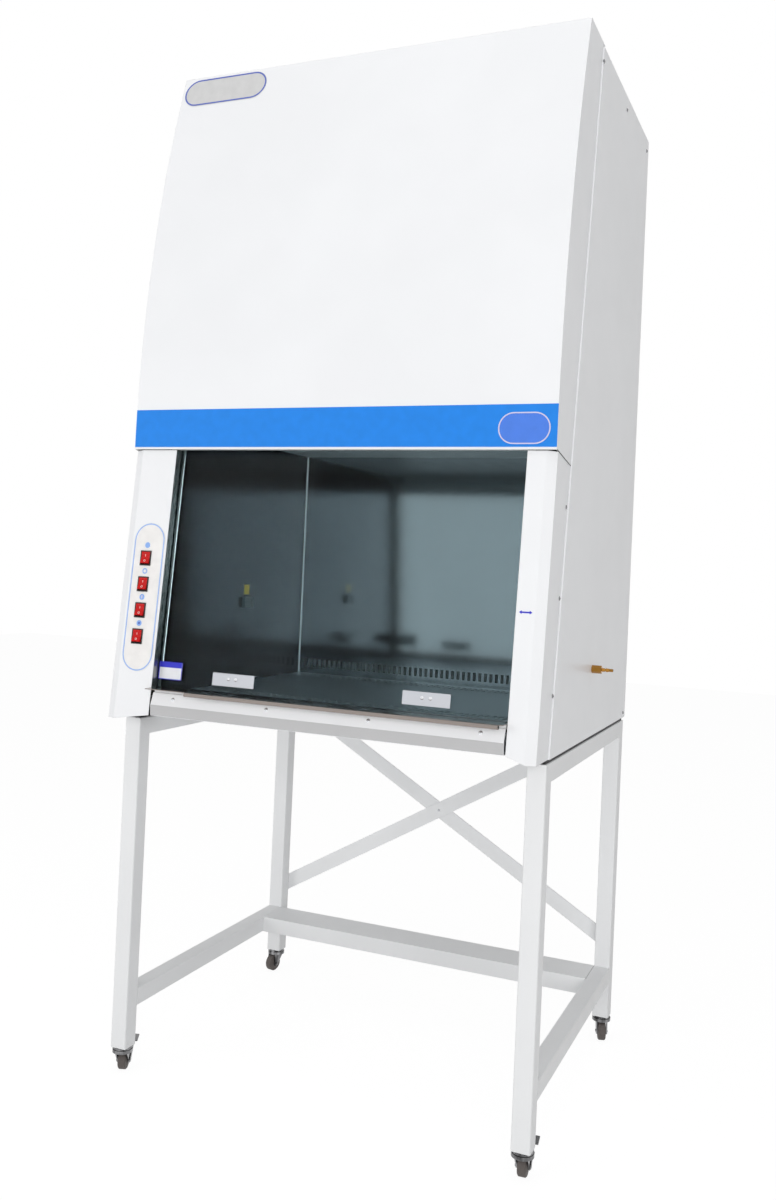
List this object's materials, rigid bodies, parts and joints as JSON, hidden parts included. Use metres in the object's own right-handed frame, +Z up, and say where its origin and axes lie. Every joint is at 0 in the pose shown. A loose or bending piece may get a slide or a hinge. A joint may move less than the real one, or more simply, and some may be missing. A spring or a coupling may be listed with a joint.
{
  "type": "vertical laminar flow cabinet",
  "caption": "Vertical laminar flow clean-air cabinet with curved hood, sliding glass sash, switch column and stainless chamber on a wheeled square-tube stand.",
  "frame": {"origin": "on the floor, under the centre of the stand's outside rectangle", "axes": "+Z up, +Y from the operator's side towards the rear, +X to the operator's right"},
  "size_m": [1.0052, 0.845, 2.21],
  "materials": {
    "stand_paint": "smooth powder coat",
    "cabinet_paint": "smooth powder coat",
    "band_film": "glossy film",
    "stainless": "fine brushed",
    "zinc_steel": "bright zinc",
    "lip_steel": "satin",
    "sash_glass": "polished",
    "handle_aluminium": "satin",
    "guide_plastic": "matte",
    "rocker_red": "glossy, lit from inside",
    "switch_black": "glossy",
    "switch_film": "satin film",
    "caster_steel": "bright plating",
    "wheel_rubber": "matte",
    "pedal_steel": "zinc plated",
    "seat_rubber": "matte",
    "plug_plastic": "matte",
    "filter_aluminium": "mill finish",
    "filter_paper": "matte",
    "filter_foam": "open foam",
    "galvanised": "galvanised",
    "motor_paint": "satin",
    "lamp_paint": "satin",
    "lamp_glass": "frosted",
    "socket_plastic": "glossy",
    "brass": "polished",
    "gland_plastic": "matte"
  },
  "bodies": {
    "cabinet": {"stand_legs_front": "stand_paint", "stand_legs_rear": "stand_paint", "stand_top_rails": "stand_paint", "stand_lower_rails": "stand_paint", "stand_cross_channel": "stand_paint", "cross_brace_rising": "stand_paint", "cross_brace_falling": "stand_paint", "stand_bolts": "zinc_steel", "caster_stems": "caster_steel", "leg_plugs": "plug_plastic", "rubber_seats": "seat_rubber", "base_pan": "cabinet_paint", "side_panel_left": "cabinet_paint", "side_panel_right": "cabinet_paint", "rear_panel": "cabinet_paint", "top_panel": "cabinet_paint", "intake_filter": "filter_foam", "hood_cover": "cabinet_paint", "colour_band": "band_film", "column_left": "cabinet_paint", "column_right": "cabinet_paint", "sash_guides": "guide_plastic", "chamber_side_walls": "stainless", "chamber_back_wall": "stainless", "work_surface": "stainless", "work_surface_rails": "stainless", "front_lip": "lip_steel", "front_apron": "cabinet_paint", "diffuser_screen": "cabinet_paint", "filter_plenum": "galvanised", "filter_frame": "filter_aluminium", "filter_pleats": "filter_paper", "blower_housing": "galvanised", "blower_motor": "motor_paint", "lamp_fittings": "lamp_paint", "lamp_tubes": "lamp_glass", "switch_plate": "switch_film", "switch_bodies": "switch_black", "power_socket": "socket_plastic", "gas_inlet": "brass", "cable_gland": "gland_plastic"},
    "sash": {"sash_glass": "sash_glass", "sash_handles": "handle_aluminium", "sash_handle_screws": "zinc_steel"},
    "blower_rotor": {"blower_wheel": "galvanised", "blower_shaft": "zinc_steel"},
    "rocker_1": {"rocker_1": "rocker_red"},
    "rocker_2": {"rocker_2": "rocker_red"},
    "rocker_3": {"rocker_3": "rocker_red"},
    "rocker_4": {"rocker_4": "rocker_red"},
    "fork_fl": {"caster_fork_fl": "caster_steel"},
    "wheel_fl": {"caster_wheel_fl": "wheel_rubber"},
    "brake_fl": {"caster_brake_fl": "pedal_steel"},
    "fork_fr": {"caster_fork_fr": "caster_steel"},
    "wheel_fr": {"caster_wheel_fr": "wheel_rubber"},
    "brake_fr": {"caster_brake_fr": "pedal_steel"},
    "fork_rl": {"caster_fork_rl": "caster_steel"},
    "wheel_rl": {"caster_wheel_rl": "wheel_rubber"},
    "fork_rr": {"caster_fork_rr": "caster_steel"},
    "wheel_rr": {"caster_wheel_rr": "wheel_rubber"}
  },
  "joints": [
    {"name": "sash_slide", "type": "slide", "parent": "cabinet", "child": "sash", "axis": [0, 0.1045, 0.9945], "range_m": [0, 0.3]},
    {"name": "blower_spin", "type": "hinge", "parent": "cabinet", "child": "blower_rotor", "pos_m": [0, -0.02, 1.9], "axis": [1, 0, 0], "continuous": true},
    {"name": "rocker_1_rock", "type": "hinge", "parent": "cabinet", "child": "rocker_1", "pos_m": [-0.41, -0.41154, 0.95224], "axis": [1, 0, 0], "range_deg": [0, 18]},
    {"name": "rocker_2_rock", "type": "hinge", "parent": "cabinet", "child": "rocker_2", "pos_m": [-0.41, -0.40575, 1.00734], "axis": [1, 0, 0], "range_deg": [0, 18]},
    {"name": "rocker_3_rock", "type": "hinge", "parent": "cabinet", "child": "rocker_3", "pos_m": [-0.41, -0.39996, 1.06244], "axis": [1, 0, 0], "range_deg": [0, 18]},
    {"name": "rocker_4_rock", "type": "hinge", "parent": "cabinet", "child": "rocker_4", "pos_m": [-0.41, -0.39417, 1.11753], "axis": [1, 0, 0], "range_deg": [0, 18]},
    {"name": "swivel_fl", "type": "hinge", "parent": "cabinet", "child": "fork_fl", "pos_m": [-0.451, -0.341, 0.05], "axis": [0, 0, 1], "continuous": true},
    {"name": "roll_fl", "type": "hinge", "parent": "fork_fl", "child": "wheel_fl", "pos_m": [-0.4553, -0.3298, 0.021], "axis": [0.9336, 0.3584, 0], "continuous": true},
    {"name": "brake_fl_press", "type": "hinge", "parent": "fork_fl", "child": "brake_fl", "pos_m": [-0.4553, -0.3298, 0.021], "axis": [-0.9336, -0.3584, 0], "range_deg": [0, 20]},
    {"name": "swivel_fr", "type": "hinge", "parent": "cabinet", "child": "fork_fr", "pos_m": [0.451, -0.341, 0.05], "axis": [0, 0, 1], "continuous": true},
    {"name": "roll_fr", "type": "hinge", "parent": "fork_fr", "child": "wheel_fr", "pos_m": [0.45016, -0.32903, 0.021], "axis": [0.9976, 0.0698, 0], "continuous": true},
    {"name": "brake_fr_press", "type": "hinge", "parent": "fork_fr", "child": "brake_fr", "pos_m": [0.45016, -0.32903, 0.021], "axis": [-0.9976, -0.0698, 0], "range_deg": [0, 20]},
    {"name": "swivel_rl", "type": "hinge", "parent": "cabinet", "child": "fork_rl", "pos_m": [-0.451, 0.341, 0.05], "axis": [0, 0, 1], "continuous": true},
    {"name": "roll_rl", "type": "hinge", "parent": "fork_rl", "child": "wheel_rl", "pos_m": [-0.4537, 0.32931, 0.021], "axis": [-0.9744, 0.225, 0], "continuous": true},
    {"name": "swivel_rr", "type": "hinge", "parent": "cabinet", "child": "fork_rr", "pos_m": [0.451, 0.341, 0.05], "axis": [0, 0, 1], "continuous": true},
    {"name": "roll_rr", "type": "hinge", "parent": "fork_rr", "child": "wheel_rr", "pos_m": [0.45491, 0.32965, 0.021], "axis": [-0.9455, -0.3256, 0], "continuous": true}
  ]
}
